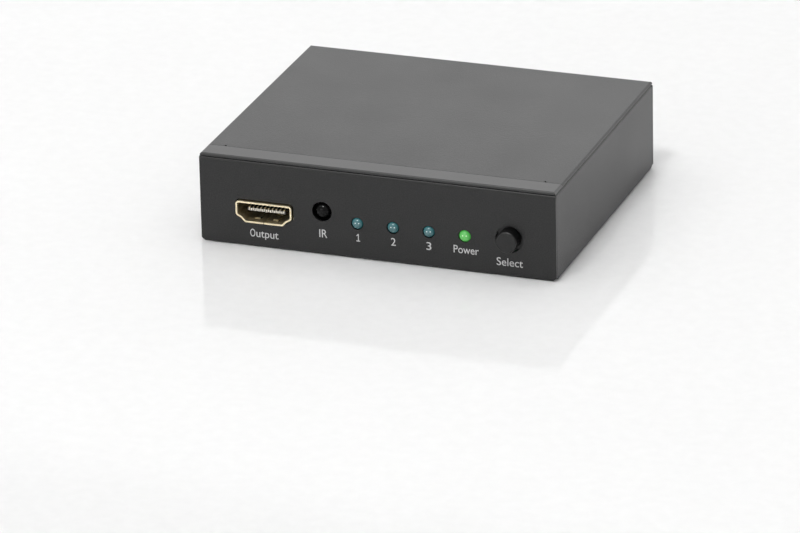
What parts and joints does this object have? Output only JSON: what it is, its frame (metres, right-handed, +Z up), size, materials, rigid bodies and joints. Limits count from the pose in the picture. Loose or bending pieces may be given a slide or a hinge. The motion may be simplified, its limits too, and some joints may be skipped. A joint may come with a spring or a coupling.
{
  "type": "hdmi switch box",
  "caption": "Small flat video switch box in a folded black steel case, with gold-rimmed video ports, indicator lamps, a remote receiver window, a power jack and a select button.",
  "frame": {"origin": "middle of the flat underside of the case, on the surface it rests on", "axes": "+X to the right as seen from the front panel, +Y from the front panel to the rear panel, +Z up"},
  "size_m": [0.0918, 0.0819, 0.0234],
  "materials": {
    "case_paint": "satin fine-grained black coat",
    "rail_paint": "smooth satin black coat",
    "black_screw": "black oxide, slightly glossy",
    "nickel": "bright nickel or tin plate",
    "gold_plate": "polished gold-coloured plate",
    "contact_gold": "flash gold plate",
    "port_plastic": "black moulded plastic",
    "board_laminate": "green solder mask",
    "lamp_clear": "blue-tinted clear epoxy",
    "lamp_green": "green-tinted epoxy, lit",
    "receiver_black": "black infrared-pass epoxy",
    "button_black": "black moulded plastic, softly shiny edge",
    "plunger_plastic": "natural moulded plastic",
    "chip_epoxy": "matte black moulding compound",
    "can_aluminium": "plain can"
  },
  "bodies": {
    "case": {"chassis": "case_paint", "front_rail": "rail_paint", "lid": "case_paint", "lid_screws": "black_screw", "standoffs": "nickel", "circuit_board": "board_laminate", "board_screws": "nickel", "output_shell": "gold_plate", "output_tongue": "port_plastic", "output_contacts": "contact_gold", "input_1_shell": "gold_plate", "input_1_tongue": "port_plastic", "input_1_contacts": "contact_gold", "input_2_shell": "gold_plate", "input_2_tongue": "port_plastic", "input_2_contacts": "contact_gold", "input_3_shell": "gold_plate", "input_3_tongue": "port_plastic", "input_3_contacts": "contact_gold", "jack_body": "port_plastic", "jack_pin": "nickel", "jack_spring": "nickel", "ir_receiver": "receiver_black", "ir_leads": "nickel", "lamp_1": "lamp_clear", "lamp_2": "lamp_clear", "lamp_3": "lamp_clear", "power_lamp": "lamp_green", "lamp_1_leads": "nickel", "lamp_2_leads": "nickel", "lamp_3_leads": "nickel", "power_lamp_leads": "nickel", "switch_frame": "nickel", "switch_base": "port_plastic", "switch_dome": "nickel", "switch_pins": "nickel", "switch_chip": "chip_epoxy", "control_chip": "chip_epoxy", "regulator": "chip_epoxy", "capacitors": "can_aluminium", "crystal": "can_aluminium"},
    "select_button": {"button_cap": "button_black", "switch_plunger": "plunger_plastic"}
  },
  "joints": [
    {"name": "select_press", "type": "slide", "parent": "case", "child": "select_button", "axis": [0, 1, 0], "range_m": [0, 0.00025], "stiffness_N_per_m": 1000, "deforming": ["switch_dome"]}
  ]
}
